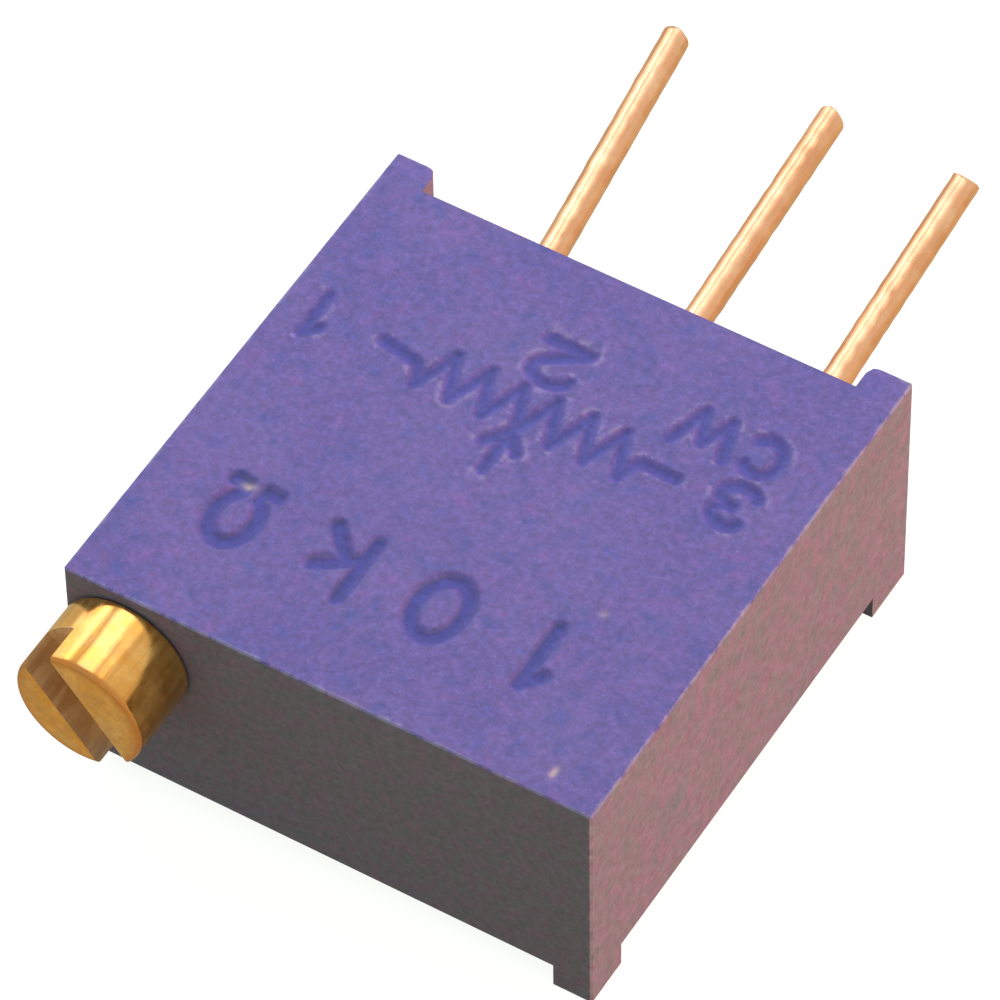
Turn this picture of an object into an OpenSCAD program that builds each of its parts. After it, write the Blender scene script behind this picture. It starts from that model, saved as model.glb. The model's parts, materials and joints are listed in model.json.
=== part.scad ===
// Square multi-turn trimmer potentiometer. A slotted screw carries a worm that turns a
// toothed rotor, and the rotor sweeps a spring wiper over a cermet ring on a ceramic plate.
// Sizes are in millimetres. The part lies on its four back pads: X runs across the pins,
// Y towards the pin tips and Z up out of the marked face. The origin is level with the
// pads' feet, under the middle of the body.

/* [Housing] */
// Width of the body, across the three pins
body_w = 9.61; // [9.5:0.01:10.2]
// Length of the body, with the standoffs on the pin side
body_l = 10.03; // [10:0.01:10.6]
// Thickness of the body, with the pads on its back
body_t = 4.83; // [4.8:0.01:5.2]
// Thickness of the side walls
wall = 0.6; // [0.5:0.02:0.64]
// Height of the two standoffs beside the pins
standoff_h = 0.5; // [0.3:0.05:0.55]
// Width of a standoff
standoff_w = 0.76; // [0.6:0.02:0.9]
// Height of the four back pads
pad_h = 0.5; // [0.4:0.05:0.6]
// Size of a back pad, across and along the body
pad_size = [0.71, 0.9]; // [0.5:0.01:1.1]
// How far the pad below the screw is set back from the screw-side face
pad_set_back = 0.42; // [0.1:0.02:0.6]
// Chamfer on the upright edges of the body
edge_cut = 0.04; // [0.02:0.01:0.15]
// Chamfer on the rim of the marked face
rim_cut = 0.03; // [0.02:0.01:0.1]

/* [Adjusting screw] */
// Diameter of the slotted head
head_d = 2.31; // [2:0.01:2.34]
// How far the head stands out of the body
head_h = 1.46; // [1.2:0.02:2]
// Distance of the screw's axis from the left side of the body
screw_inset = 1.13; // [1.12:0.01:1.16]
// Depth of the screw's axis below the marked face
screw_depth = 1.34; // [1.3:0.01:1.36]
// Width of the driver slot
slot_w = 0.68; // [0.4:0.02:0.7]
// How far the slot is sawn off the screw's axis
slot_shift = 0.07; // [0:0.01:0.1]
// Depth of the driver slot
slot_depth = 0.72; // [0.4:0.02:0.9]
// Turn of the slot from the body's width
slot_angle = 52.5; // [0:0.5:180]

/* [Worm drive] */
// Number of teeth on the rotor
rotor_teeth = 30; // [28:1:31]
// Module, the tooth pitch divided by pi
gear_module = 0.21; // [0.2:0.002:0.212]
// Pitch radius of the worm
worm_r = 0.55; // [0.53:0.01:0.56]
// Width of the rotor's toothed rim
rim_w = 1; // [0.8:0.02:1]
// Play between the teeth and the thread
backlash = 0.06; // [0.04:0.01:0.08]

/* [Resistive element] */
// Thickness of the ceramic plate
plate_t = 0.6; // [0.5:0.02:0.62]
// Mean radius of the resistive ring
track_r = 2.35; // [2.2:0.01:2.4]
// Width of the resistive ring
track_w = 0.56; // [0.4:0.02:0.6]
// Angle that the resistive ring covers
track_sweep = 304; // [300:1:310]
// Mean radius of the collector ring
collector_r = 1.3; // [1.25:0.01:1.4]

/* [Terminals] */
// Diameter of a pin
pin_d = 0.51; // [0.45:0.01:0.52]
// Spacing of the pins where they leave the body
pin_pitch = 2.54; // [2.5:0.01:2.56]
// Height of the pins above the pads' feet
pin_z = 1.64; // [1.6:0.01:1.66]
// How far each pin reaches past the standoffs
pin_reach = [7.05, 6.82, 6.85]; // [4:0.01:10]
// How far each pin is bent towards the screw's side where it leaves the body, in degrees
pin_lean = [7.2, 3.2, 3.1]; // [0:0.1:8]
// Radius of that bend
pin_bend_r = 1; // [0.6:0.1:2]

/* [Hidden] */
$fn = 64;

// the body's faces
x_side = body_w / 2;
y_screw = -body_l / 2;
y_seat = body_l / 2;
y_pins = y_seat - standoff_h;

// the screw's axis
screw_x = -x_side + screw_inset;
screw_z = body_t - screw_depth;

// the drive: one thread on the worm, so one turn moves the rotor by one tooth
lead = PI * gear_module;
rotor_r = rotor_teeth * gear_module / 2;
rotor_x = screw_x + worm_r + rotor_r;
rotor_y = -0.2;
pressure_angle = 20;
addendum = 0.9 * gear_module;
dedendum = 1.19 * gear_module;
worm_tip = worm_r + addendum;
worm_root = worm_r - dedendum;
helix_angle = atan(lead / (2 * PI * worm_r));

// play between parts that turn, slack between parts that are laid in, and the overlap
// by which joined shapes and cuts run into each other
play = 0.03;
slack = 0.01;
over = 0.1;

// heights of the stack, from the back up
film = 0.03;
fill_z = pad_h + 0.08;
plate_z = pin_z + pin_d / 2 + 0.035;
plate_top = plate_z + plate_t;
rotor_z = screw_z - rim_w / 2 - 0.05;
rotor_top = screw_z + rim_w / 2;
ceiling_z = rotor_top + 0.05;

// the cavity for the plate and the fill
cavity_x = x_side - wall;
cavity_y0 = y_screw + wall;
cavity_y1 = y_pins - wall;

// the pocket for the rotor, the post it turns on and its bore
pocket_r = rotor_r + addendum + 0.11;
post_r = 0.77;
post_out = 0.1;
post_tip = 0.1;
hub_bore = post_r + play;

// the screw along its axis
journal_r = 0.8;
bore_r = journal_r + play;
ring_groove = [y_screw + 0.36, y_screw + 0.72];
ring_wire_r = 0.155;
ring_floor = 0.51;
clip_groove = [y_screw + 1.36, y_screw + 1.66];
clip_neck = 0.45;
clip_t = 0.22;
clip_w = 1.52;
clip_top = 0.7;
collar_r = 0.78;
relief_r = worm_root - 0.02;
worm_y0 = rotor_y - 2.15;
worm_y1 = rotor_y + 2.15;
tail_r = 0.38;
tail_end = rotor_y + 3.25;

// the pins: upright ends in the plate, nail heads and the notches they leave by; the pin
// beside the screw, and less so the middle one, sit a little over to the screw's side
shank_y = cavity_y1 - 0.62;
elbow_r = 0.3;
pin_head_r = 0.42;
pin_head_t = 0.13;
pin_hole_r = pin_d / 2 + 0.025;
notch_w = pin_d + 0.16;
pin_x = [-pin_pitch - 0.14, -0.03, pin_pitch + 0.04];
pin_room = [7, 1.37, 0.45];

// the ring starts and ends either side of the pins
track_from = 90 + (360 - track_sweep) / 2;
track_to = track_from + track_sweep;

// the wiper: thickness of its strip, and the two pegs of the rotor that hold it
leaf = 0.06;
peg_r = 0.15;
pegs = [[-1.5, -1.2], [-1.5, -2.1]];

// ---- small helpers ----

// a cylinder along +Y from y0 to y1
module y_rod(r, y0, y1) {
    translate([0, y0, 0]) rotate([-90, 0, 0]) cylinder(r = r, h = y1 - y0);
}

// a flat band of a ring, laid on the plate about the rotor's axis
module film_arc(r, w, from, to) {
    translate([rotor_x, rotor_y, plate_top]) rotate([0, 0, from])
        rotate_extrude(angle = to - from) translate([r - w / 2, 0]) square([w, film]);
}

// a straight printed strip between two points of the plate
module film_strip(a, b, w) {
    d = b - a;
    translate([a[0], a[1], plate_top]) rotate([0, 0, atan2(d[1], d[0])])
        translate([0, -w / 2, 0]) cube([norm(d), w, film]);
}

// a point on a ring about the rotor's axis
function on_ring(r, a) = [rotor_x + r * cos(a), rotor_y + r * sin(a)];

// ---- housing ----

// plan of the body with its standoffs, the upright edges chamfered
module body_plan() {
    c = edge_cut;
    nose = 0.2;
    inner = x_side - standoff_w;
    right = [
        [x_side - c, y_screw], [x_side, y_screw + c],
        [x_side, y_seat - c], [x_side - c, y_seat],
        [inner + nose, y_seat], [inner + 0.3 * nose, y_seat - 0.3 * nose],
        [inner, y_seat - nose], [inner, y_pins],
    ];
    left = [for (i = [len(right) - 1:-1:0]) [-right[i][0], right[i][1]]];
    polygon(concat(right, left));
}

// the four pads as [x, y, width, length]; the one below the screw is narrower and set back
pin_side_pad_y = y_seat - pad_size[1] - 0.2;
pads = [
    [-x_side, y_screw + pad_set_back, wall - 0.04, pad_size[1]],
    [x_side - pad_size[0], y_screw, pad_size[0], pad_size[1]],
    [-x_side, pin_side_pad_y, pad_size[0], y_seat - pin_side_pad_y],
    [x_side - pad_size[0], pin_side_pad_y, pad_size[0], y_seat - pin_side_pad_y],
];

// what the back is cut down by, leaving the pads
module back_relief() {
    room = 1;
    difference() {
        translate([-x_side - room, y_screw - room, -room])
            cube([body_w + 2 * room, body_l + 2 * room, room + pad_h]);
        for (p = pads) translate([p[0], p[1], -2 * room]) cube([p[2], p[3], 3 * room]);
    }
}

// one long cut at 45 degrees, along +X, that takes the edge off at the origin
module edge_cutter(length) {
    translate([-length / 2, 0, 0]) rotate([45, 0, 0]) translate([0, -rim_cut, -rim_cut / sqrt(2)])
        cube([length, 2 * rim_cut, 2 * rim_cut]);
}

// what the marked face's rim is cut back by
module rim_relief() {
    translate([0, 0, body_t]) {
        translate([0, y_screw, 0]) edge_cutter(body_w + 1);
        translate([0, y_pins, 0]) rotate([0, 0, 180]) edge_cutter(2 * (x_side - standoff_w));
        for (side = [-1, 1]) {
            translate([side * x_side, 0, 0]) rotate([0, 0, side * 90]) edge_cutter(body_l + 1);
            translate([side * (x_side - standoff_w / 2), y_seat, 0]) rotate([0, 0, 180])
                edge_cutter(standoff_w + 0.4);
        }
    }
}

// the notch in the pin-side wall that a pin drops into from the back
module pin_notch(i) {
    translate([pin_x[i], cavity_y1 - over, pin_z]) rotate([-90, 0, 0])
        cylinder(d = notch_w, h = wall + 2 * over);
    translate([pin_x[i] - notch_w / 2, cavity_y1 - over, 0]) cube([notch_w, wall + 2 * over, pin_z]);
}

// the way in for the screw: bore, clip slot, worm channel and tail bearing
module screw_way() {
    channel = collar_r + play;
    snug = 0.02;
    y_open = clip_groove[1] - snug;
    y_shut = worm_y1 + 0.3;
    translate([screw_x, 0, screw_z]) {
        y_rod(bore_r, y_screw - 1, y_open);
        y_rod(channel, y_open - slack, y_shut);
        y_rod(tail_r + snug, y_shut - over, tail_end + over);
    }
    translate([screw_x - channel, y_open, plate_top - over])
        cube([2 * channel, y_shut - y_open, screw_z - plate_top + over]);
    slit = clip_groove[1] - clip_groove[0] - 2 * snug;
    translate([screw_x - clip_w / 2 - snug, clip_groove[0] + snug, plate_top - over])
        cube([clip_w + 2 * snug, slit, screw_z + clip_top + 2 * snug - plate_top + over]);
}

module housing() {
    color([0.36, 0.33, 0.62]) union() {
        difference() {
            linear_extrude(body_t) body_plan();
            rim_relief();
            back_relief();
            translate([-cavity_x, cavity_y0, pad_h])
                cube([2 * cavity_x, cavity_y1 - cavity_y0, plate_top - pad_h]);
            translate([rotor_x, rotor_y, plate_top - over])
                cylinder(r = pocket_r, h = ceiling_z - plate_top + over);
            translate([-pin_room[0] / 2, cavity_y1 - pin_room[1], plate_top - over]) cube(pin_room);
            screw_way();
            for (i = [0:2]) pin_notch(i);
        }
        translate([rotor_x, rotor_y, rotor_z - post_out]) {
            cylinder(r = post_r, h = body_t - wall - rotor_z + post_out);
            translate([0, 0, -post_tip]) cylinder(r1 = post_r - post_tip, r2 = post_r, h = post_tip);
        }
    }
}

// ---- back fill ----

// epoxy poured in behind the plate, round the pins and into their notches
module epoxy_backfill() {
    w = notch_w - 2 * slack;
    color([0.16, 0.16, 0.2]) difference() {
        union() {
            translate([-cavity_x + slack, cavity_y0 + slack, fill_z])
                cube([2 * (cavity_x - slack), cavity_y1 - cavity_y0 - 2 * slack, plate_z - slack - fill_z]);
            for (x = pin_x) {
                translate([x, cavity_y1 - 2 * slack, pin_z]) rotate([-90, 0, 0])
                    cylinder(d = w, h = wall - slack);
                translate([x - w / 2, cavity_y1 - 2 * slack, fill_z])
                    cube([w, wall - slack, pin_z - fill_z]);
            }
        }
        for (i = [0:2]) pin_wire(i, slack);
    }
}

// ---- resistive element ----

module ceramic_substrate() {
    gap = 0.03;
    color([0.9, 0.88, 0.82]) difference() {
        translate([-cavity_x + gap, cavity_y0 + gap, plate_z])
            cube([2 * (cavity_x - gap), cavity_y1 - cavity_y0 - 2 * gap, plate_t]);
        for (x = pin_x) translate([x, shank_y, plate_z - 1])
            cylinder(r = pin_hole_r, h = plate_t + 2);
    }
}

module resistive_track() {
    color([0.1, 0.12, 0.1]) film_arc(track_r, track_w, track_from, track_to);
}

// a pad round a pin's shank, with a strip that runs to it
module pin_pad(i, from, w) {
    difference() {
        union() {
            film_strip(from, [pin_x[i], shank_y], w);
            translate([pin_x[i], shank_y, plate_top]) cylinder(r = 0.58, h = film);
        }
        translate([pin_x[i], shank_y, plate_top - 1]) cylinder(r = pin_hole_r, h = 2);
    }
}

module end_conductor(i) {
    side = i == 0 ? 1 : -1;
    edge = i == 0 ? track_from : track_to - 360;
    a = edge - side * 0.25;
    color([0.75, 0.75, 0.72]) union() {
        film_arc(track_r, track_w + 0.1, min(a, a - side * 9), max(a, a - side * 9));
        pin_pad(i, on_ring(track_r + 0.1, edge - side * 6), 0.3);
    }
}

module end_conductor_1() { end_conductor(0); }
module end_conductor_3() { end_conductor(2); }

module collector_track() {
    color([0.75, 0.75, 0.72]) union() {
        film_arc(collector_r, 0.5, 0, 360);
        pin_pad(1, on_ring(collector_r, 90), 0.34);
    }
}

// ---- terminals ----

// the wire of a pin: up through the plate, round an elbow, straight out of the body, then
// over by its lean and on to the tip
module pin_wire(i, grow = 0) {
    r = pin_d / 2 + grow;
    tip = 0.06;
    lean = pin_lean[i];
    free = (y_seat + pin_reach[i] - y_pins - pin_bend_r * sin(lean)) / cos(lean);
    translate([pin_x[i], 0, pin_z]) {
        translate([0, shank_y, elbow_r]) cylinder(r = r, h = plate_top + film - pin_z - elbow_r);
        translate([0, shank_y + elbow_r, elbow_r]) rotate([-90, 0, -90])
            rotate_extrude(angle = 90) translate([elbow_r, 0]) circle(r = r);
        y_rod(r, shank_y + elbow_r, y_pins);
        translate([-pin_bend_r, y_pins, 0]) {
            if (lean > 0) rotate_extrude(angle = lean) translate([pin_bend_r, 0]) circle(r = r);
            rotate([0, 0, lean]) translate([pin_bend_r, 0, 0]) {
                y_rod(r, 0, free - tip);
                translate([0, free - tip, 0]) rotate([-90, 0, 0]) cylinder(r1 = r, r2 = r - tip, h = tip);
            }
        }
    }
}

module terminal_pin(i) {
    color([0.86, 0.66, 0.42]) union() {
        pin_wire(i);
        translate([pin_x[i], shank_y, plate_top + film]) cylinder(r = pin_head_r, h = pin_head_t);
    }
}

module terminal_pin_1() { terminal_pin(0); }
module terminal_pin_2() { terminal_pin(1); }
module terminal_pin_3() { terminal_pin(2); }

// the fillet of solder round a pin's head
module solder_joint(i) {
    foot = 0.56;
    inner = pin_head_r + 0.005;
    color([0.72, 0.73, 0.75]) translate([pin_x[i], shank_y, plate_top + film])
        rotate_extrude() polygon([
            [inner, 0], [foot, 0], [foot - 0.05, 0.03],
            [inner + 0.025, pin_head_t - 0.03], [inner, pin_head_t - 0.02],
        ]);
}

module solder_joint_1() { solder_joint(0); }
module solder_joint_2() { solder_joint(1); }
module solder_joint_3() { solder_joint(2); }

// ---- adjusting screw ----

// half of the thread's width at radius r, on a cut along the axis
function thread_half(r) = lead / 4 - backlash / 4 - (r - worm_r) * tan(pressure_angle);

// cut across the worm: the crest, the root and the two flanks between them
module worm_section() {
    crest = 360 * thread_half(worm_tip) / lead;
    root = 360 * thread_half(worm_root) / lead;
    flank = [for (k = [0:5]) [worm_tip + (worm_root - worm_tip) * k / 5, crest + (root - crest) * k / 5]];
    arcs = concat(
        [for (k = [-2:2]) [worm_tip, crest * k / 3]],
        flank,
        [for (k = [1:3]) [worm_root, root + (360 - 2 * root) * k / 4]],
        [for (k = [5:-1:0]) [flank[k][0], 360 - flank[k][1]]]
    );
    polygon([for (q = arcs) q[0] * [cos(q[1]), sin(q[1])]]);
}

// the worm, turned so that a space between threads faces the rotor's tooth
module worm() {
    length = worm_y1 - worm_y0;
    turns = length / lead;
    phase = 360 * (worm_y0 - rotor_y - lead / 2) / lead;
    translate([0, worm_y0, 0]) rotate([-90, 0, 0]) rotate([0, 0, phase])
        linear_extrude(height = length, twist = -360 * turns, slices = round(18 * turns), segments = 0)
            worm_section();
}

module adjusting_screw() {
    rim = 0.07;
    head_r = head_d / 2;
    y_head = y_screw - head_h;
    color([0.85, 0.62, 0.28]) translate([screw_x, 0, screw_z]) union() {
        difference() {
            union() {
                y_rod(head_r, y_head + rim, y_screw - play);
                translate([0, y_head, 0]) rotate([-90, 0, 0])
                    cylinder(r1 = head_r - rim, r2 = head_r, h = rim);
            }
            rotate([0, slot_angle, 0]) translate([-head_d, y_head - 1, -slot_w / 2 - slot_shift])
                cube([2 * head_d, 1 + slot_depth, slot_w]);
        }
        y_rod(journal_r, y_screw - play, ring_groove[0]);
        y_rod(ring_floor, ring_groove[0], ring_groove[1]);
        y_rod(journal_r, ring_groove[1], clip_groove[0]);
        y_rod(clip_neck, clip_groove[0], clip_groove[1]);
        y_rod(collar_r, clip_groove[1], clip_groove[1] + 0.3);
        y_rod(relief_r, clip_groove[1] + 0.3, worm_y0 + 0.1);
        worm();
        y_rod(relief_r, worm_y1 - 0.1, worm_y1 + 0.25);
        y_rod(tail_r, worm_y1 + 0.25, tail_end);
    }
}

module screw_o_ring() {
    y_mid = (ring_groove[0] + ring_groove[1]) / 2;
    color([0.12, 0.12, 0.12]) translate([screw_x, y_mid, screw_z]) rotate([-90, 0, 0])
        rotate_extrude() translate([ring_floor + 0.005 + ring_wire_r, 0]) circle(r = ring_wire_r, $fn = 32);
}

// a U of spring steel, pushed from the back into the groove behind the journal
module screw_retaining_clip() {
    gap = clip_neck + 0.03;
    y_mid = (clip_groove[0] + clip_groove[1]) / 2;
    color([0.6, 0.61, 0.63]) translate([screw_x, y_mid + clip_t / 2, screw_z]) rotate([90, 0, 0])
        linear_extrude(clip_t) difference() {
            translate([-clip_w / 2, plate_top + 0.02 - screw_z])
                square([clip_w, screw_z - plate_top + clip_top]);
            circle(r = gap);
            translate([-gap, -3]) square([2 * gap, 3]);
        }
}

// ---- rotor ----

// how far the flank has turned in from the base circle, at radius r
function involute(r) = let(a = acos(rotor_r * cos(pressure_angle) / r)) tan(a) * 180 / PI - a;

// half of a tooth's angle at radius r; below the base circle the flank runs straight in
function tooth_half(r) =
    let(base = rotor_r * cos(pressure_angle))
    let(pitch_half = 90 / rotor_teeth - backlash / 4 / rotor_r * 180 / PI)
    pitch_half + involute(rotor_r) - involute(max(r, base + 0.0001));

module tooth_ring_section() {
    tip = rotor_r + addendum;
    root = rotor_r - dedendum;
    steps = [for (k = [0:4]) root + (tip - root) * k / 4];
    half = [for (r = steps) [r, tooth_half(r)]];
    tooth = concat([for (q = half) [q[0], -q[1]]], [for (k = [4:-1:0]) half[k]]);
    polygon([for (t = [0:rotor_teeth - 1]) for (q = tooth)
        let(a = q[1] + t * 360 / rotor_teeth) q[0] * [cos(a), sin(a)]]);
}

module worm_wheel() {
    turn = rim_w * tan(helix_angle) / rotor_r * 180 / PI;
    disc_r = rotor_r - dedendum - 0.12;
    color([0.93, 0.92, 0.88]) translate([rotor_x, rotor_y, 0]) difference() {
        union() {
            translate([0, 0, screw_z - rim_w / 2]) rotate([0, 0, -turn / 2])
                linear_extrude(height = rim_w, twist = -turn, slices = 4) tooth_ring_section();
            translate([0, 0, rotor_z]) cylinder(r = disc_r, h = rotor_top - rotor_z);
            for (p = pegs) translate([p[0], p[1], rotor_z - 0.1]) cylinder(r = peg_r, h = 0.2);
        }
        translate([0, 0, rotor_z - 1]) cylinder(r = hub_bore, h = 3);
        translate([0, 0, rotor_top - 0.35]) difference() {
            cylinder(r = disc_r - 0.35, h = 1);
            translate([0, 0, -1]) cylinder(r = hub_bore + 0.45, h = 3);
        }
    }
}

// ---- wiper ----

// one finger: a bent strip of width w that starts at x0 on the leaf and trails to a tip at x1
module finger(x0, x1, y, w) {
    drop = rotor_z - leaf - plate_top - film - 0.02;
    dir = x1 > x0 ? 1 : -1;
    run = abs(x1 - x0);
    foot = -drop + leaf;
    profile = [
        [0, 0], [run - 0.24, foot], [run - 0.12, foot - leaf * 0.4], [run, foot + 0.1],
        [run - 0.03, foot + 0.15], [run - 0.12, foot + leaf * 0.8], [run - 0.2, foot + leaf], [0, leaf],
    ];
    translate([x0, y + w / 2, rotor_z - leaf]) rotate([90, 0, 0]) linear_extrude(w)
        polygon([for (q = profile) [dir * q[0], q[1]]]);
}

module wiper_spring() {
    w = 0.13;
    color([0.8, 0.72, 0.5]) translate([rotor_x, rotor_y, 0]) difference() {
        union() {
            translate([-1.8, -2.62, rotor_z - leaf]) cube([0.62, 1.75, leaf]);
            for (k = [-1:1]) finger(-1.19, 0.1, -track_r + 0.17 * k, w);
            for (k = [0:1]) finger(-1.19, 0.1, -collector_r + 0.09 - 0.17 * k, w);
        }
        for (p = pegs) translate([p[0], p[1], rotor_z - 1]) cylinder(r = peg_r + 0.01, h = 2);
    }
}

housing();
epoxy_backfill();
ceramic_substrate();
resistive_track();
collector_track();
end_conductor_1();
end_conductor_3();
terminal_pin_1();
terminal_pin_2();
terminal_pin_3();
solder_joint_1();
solder_joint_2();
solder_joint_3();
adjusting_screw();
screw_o_ring();
screw_retaining_clip();
worm_wheel();
wiper_spring();
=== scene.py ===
import json
import math
import bmesh
import bpy
import numpy as np
from mathutils import Matrix, Vector


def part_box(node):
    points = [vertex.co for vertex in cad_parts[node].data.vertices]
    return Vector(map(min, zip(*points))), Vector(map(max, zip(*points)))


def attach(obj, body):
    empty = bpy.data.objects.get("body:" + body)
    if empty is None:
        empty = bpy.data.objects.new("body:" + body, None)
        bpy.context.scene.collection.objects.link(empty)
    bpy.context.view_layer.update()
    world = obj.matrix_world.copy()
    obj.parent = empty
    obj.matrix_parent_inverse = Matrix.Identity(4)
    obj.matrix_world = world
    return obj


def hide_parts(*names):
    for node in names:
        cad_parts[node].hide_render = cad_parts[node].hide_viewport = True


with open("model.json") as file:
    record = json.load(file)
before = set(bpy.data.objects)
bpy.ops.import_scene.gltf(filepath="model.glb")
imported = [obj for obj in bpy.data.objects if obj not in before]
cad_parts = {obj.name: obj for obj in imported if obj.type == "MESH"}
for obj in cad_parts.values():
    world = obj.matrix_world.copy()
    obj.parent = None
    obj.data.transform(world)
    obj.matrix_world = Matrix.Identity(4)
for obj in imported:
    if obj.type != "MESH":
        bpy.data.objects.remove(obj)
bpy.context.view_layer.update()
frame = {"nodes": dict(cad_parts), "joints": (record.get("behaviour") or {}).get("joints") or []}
mm = 0.001
print("stage: frame loaded,", len(frame["nodes"]), "nodes")


# places that the frame gives, in millimetres

def nodeBox(name):
    # a CAD node's low and high corner
    low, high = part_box(name)
    return np.array(low) / mm, np.array(high) / mm


def jointOf(name):
    # a point on a joint's axis
    found = [j for j in frame["joints"] if j["name"] == name][0]
    return np.array(found["pos_m"]) / mm


bodyLow, bodyHigh = nodeBox("housing")
screwAxis = jointOf("screw_turn")  # its y is the face that the screw comes out of
rotorAxis = jointOf("rotor_turn")
fillLow, fillHigh = nodeBox("epoxy_backfill")


# mesh tools

def gridQuads(rows, cols, closeCols=False):
    # quads of a rows x cols grid of points stored row by row; closeCols joins the last column to the first
    r, c = np.meshgrid(np.arange(rows - 1), np.arange(cols if closeCols else cols - 1), indexing="ij")
    r, c = r.ravel(), c.ravel()
    d = (c + 1) % cols
    return np.stack([r * cols + c, r * cols + d, (r + 1) * cols + d, (r + 1) * cols + c], axis=1)


def newMesh(name, points, faces):
    # points in millimetres; faces is a list of arrays or lists of corner numbers
    mesh = bpy.data.meshes.new(name)
    allFaces = [list(map(int, f)) for block in faces for f in block]
    mesh.from_pydata(np.asarray(points, float).tolist(), [], allFaces)
    mesh.validate()
    mesh.update()
    return mesh


def addPiece(name, mesh, material, body, stands, smoothAngle=35):
    # the mesh is in millimetres until here; the object itself stays at the origin
    mesh.transform(Matrix.Scale(mm, 4))
    piece = bpy.data.objects.new(name, mesh)
    bpy.context.scene.collection.objects.link(piece)
    mesh.materials.clear()
    mesh.materials.append(material)
    mesh.polygons.foreach_set("use_smooth", np.ones(len(mesh.polygons), bool))
    mesh.set_sharp_from_angle(angle=math.radians(smoothAngle))
    flat = piece.modifiers.new("flatFaces", "WEIGHTED_NORMAL")
    flat.keep_sharp, flat.weight = True, 80
    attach(piece, body)
    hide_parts(stands)
    return piece


def breakEdges(bm, edges, width):
    # a small rounding along the given edges
    bmesh.ops.bevel(bm, geom=edges, offset=width, offset_type="OFFSET", segments=2, profile=0.5,
                    affect="EDGES", clamp_overlap=True)


def addAttribute(mesh, name, values):
    # one number for each vertex
    mesh.attributes.new(name, "FLOAT", "POINT").data.foreach_set("value", np.ravel(values).astype(np.float32))


def smoothStep(t):
    # 0 below 0, 1 above 1, and 3t^2 - 2t^3 between
    t = np.clip(t, 0, 1)
    return t * t * (3 - 2 * t)


def arcPoints(centre, radius, fromDeg, toDeg, steps):
    # points of an arc; radius may be one number or a pair for an ellipse
    rx, ry = (radius, radius) if np.isscalar(radius) else radius
    a = np.radians(np.linspace(fromDeg, toDeg, steps + 1))
    return np.stack([centre[0] + rx * np.cos(a), centre[1] + ry * np.sin(a)], axis=1)


# marks pressed into the marked face

marksLook = dict(
    valueDepth=0.075,    # how deep the value mark is pressed in
    smallDepth=0.05,
    soft=0.08,           # half the width of a stroke's sloping side
    lipHeight=0.007,     # the low lip that the stamp pushed up round the small marks
    lipWidth=0.04,
    valueText="10kO",    # the value mark, in four wide-set characters
    valueStart=-2.55,    # reading direction runs from +X to -X, so places are given along -X
    valuePitch=1.87,
    valueRow=-2.71,
    valueSize=(0.80, 1.22),
    valueStroke=0.25,
    # the pins' numbers and the turning mark: where each character's middle is, and its width and height
    small=[("1", (4.11, 1.41), (0.66, 0.84)), ("2", (0.27, 2.46), (0.8, 0.84)),
           ("3", (-3.57, 1.38), (0.66, 0.84)), ("C", (-3.49, 2.48), (0.64, 0.74)),
           ("W", (-2.50, 2.47), (0.94, 0.72))],
    smallStroke=0.19,
    zigzagStroke=0.1805,
    zigzagFrom=-1.86,
    zigzagTo=2.2,
    zigzagRow=1.4,
    zigzagHeight=0.84,   # the zigzag's and the arrow's heights are in parts of this
    zigzagStrokes=13,
    leadIn=0.68,         # the leads' reach along the face
    leadOut=0.72,
    arrowAt=0.2,         # where the arrow's point is, and how far its barbs and its bar spread
    arrowBarb=0.3,
    arrowBar=0.14,
    fineCell=0.031,      # spacing of the face's grid where there are marks, and elsewhere
    coarseCell=0.2,
    fineX=[(-4.3, 4.2)],  # the spans that hold marks
    fineY=[(-4.76, -4.3), (-3.62, -1.3), (-0.1, 3.05)],
    sideMargin=0.25,     # the grid stops this far from the face's edges,
    pinWallMargin=0.75,  # and this far from the standoffs' ends
)


# each character's strokes in a box from -0.5 to 0.5 each way, as lists of points
glyphs = {
    "0": [arcPoints((0, 0), 0.5, 0, 360, 28)],
    "1": [[(-0.22, 0.27), (0.08, 0.5), (0.08, -0.5)]],
    "2": [[*arcPoints((0, 0.2), (0.46, 0.3), 165, -35, 14), (-0.48, -0.5), (0.5, -0.5)]],
    "3": [arcPoints((-0.02, 0.25), (0.42, 0.25), 150, -90, 14),
          arcPoints((-0.02, -0.24), (0.5, 0.26), 90, -150, 14)],
    "C": [arcPoints((0, 0), 0.5, 48, 312, 20)],
    "W": [[(-0.5, 0.5), (-0.26, -0.5), (0, 0.3), (0.26, -0.5), (0.5, 0.5)]],
    "k": [[(-0.46, 0.5), (-0.46, -0.5)], [(0.42, 0.18), (-0.46, -0.2)], [(-0.14, -0.05), (0.46, -0.5)]],
    # the ohm sign: a bowl open below, on two feet
    "O": [[(0.5, -0.5), (0.22, -0.5), *arcPoints((0, 0.06), (0.46, 0.44), -62, 242, 26), (-0.22, -0.5),
           (-0.5, -0.5)]],
}


def placed(strokes, centre, size, width):
    # moves a character's strokes to its place; reading runs along -X and upright is -Y
    out = []
    for line in strokes:
        across, up = np.array(line).T
        out.append((np.stack([-(centre[0] + across * size[0]), centre[1] - up * size[1]], axis=1), width))
    return out


def valueMarks(m):
    # the value's characters in a row, a pitch apart
    marks = []
    for k, letter in enumerate(m["valueText"]):
        place = (m["valueStart"] + k * m["valuePitch"], m["valueRow"])
        marks += placed(glyphs[letter], place, m["valueSize"], m["valueStroke"])
    return marks


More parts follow.
